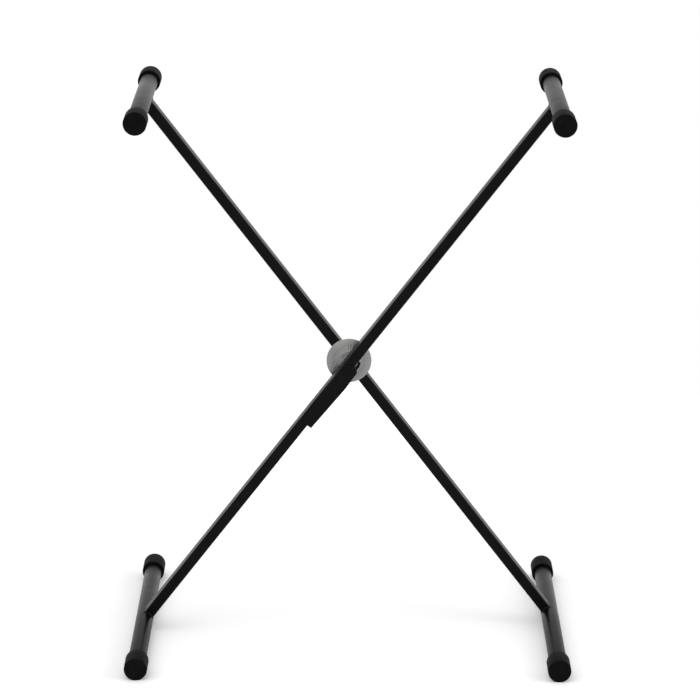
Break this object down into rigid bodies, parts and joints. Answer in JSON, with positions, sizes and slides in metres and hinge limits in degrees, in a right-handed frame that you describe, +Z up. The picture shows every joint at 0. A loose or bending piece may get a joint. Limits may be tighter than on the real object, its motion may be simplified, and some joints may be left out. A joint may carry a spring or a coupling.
{
  "type": "folding keyboard stand",
  "caption": "Single-braced X-shaped folding stand: rectangular legs on one pivot, round foot and arm tubes with rubber caps, and a toothed disc lock with a trigger.",
  "frame": {"origin": "on the floor under the pivot, at the mid-plane between the two legs", "axes": "+X to the player's right, +Y away from the viewer along the foot and arm tubes, +Z up"},
  "size_m": [0.6312, 0.466, 0.8041],
  "materials": {
    "frame_coat": "satin black powder coat",
    "cap_rubber": "matt moulded rubber",
    "turned_metal": "turned face, clear passivated",
    "dark_steel": "black oxide",
    "grip_nylon": "fine-grained moulded nylon",
    "ring_nylon": "natural nylon",
    "spring_steel": "bright rolled strip",
    "zinc_steel": "zinc plated"
  },
  "bodies": {
    "front_frame": {"front_leg_tube": "frame_coat", "left_foot_tube": "frame_coat", "left_foot_caps": "cap_rubber", "right_arm_tube": "frame_coat", "right_arm_caps": "cap_rubber", "front_foot_weld": "frame_coat", "front_arm_weld": "frame_coat", "front_pivot_sleeve": "zinc_steel", "pivot_bolt": "dark_steel", "thrust_washer": "zinc_steel", "pivot_washer": "zinc_steel", "pivot_nut": "zinc_steel", "nut_nylon_ring": "ring_nylon"},
    "back_frame": {"back_leg_tube": "frame_coat", "right_foot_tube": "frame_coat", "right_foot_caps": "cap_rubber", "left_arm_tube": "frame_coat", "left_arm_caps": "cap_rubber", "back_foot_weld": "frame_coat", "back_arm_weld": "frame_coat", "back_pivot_sleeve": "zinc_steel", "locking_disc": "turned_metal", "ratchet_hub": "turned_metal", "hub_rivets": "zinc_steel"},
    "trigger": {"trigger_grip": "grip_nylon", "pawl_plate": "dark_steel", "grip_screws": "dark_steel", "lever_pin": "dark_steel", "lever_spring": "spring_steel"}
  },
  "joints": [
    {"name": "fold", "type": "hinge", "parent": "front_frame", "child": "back_frame", "pos_m": [0, 0, 0.40538], "axis": [0, 1, 0], "range_deg": [-50, 70]},
    {"name": "lever_squeeze", "type": "hinge", "parent": "front_frame", "child": "trigger", "pos_m": [-0.0098, 0, 0.38769], "axis": [0, 1, 0], "range_deg": [0, 2.5], "stiffness_Nm_per_rad": 3, "springref_deg": -4.58, "deforming": ["lever_spring"]}
  ]
}
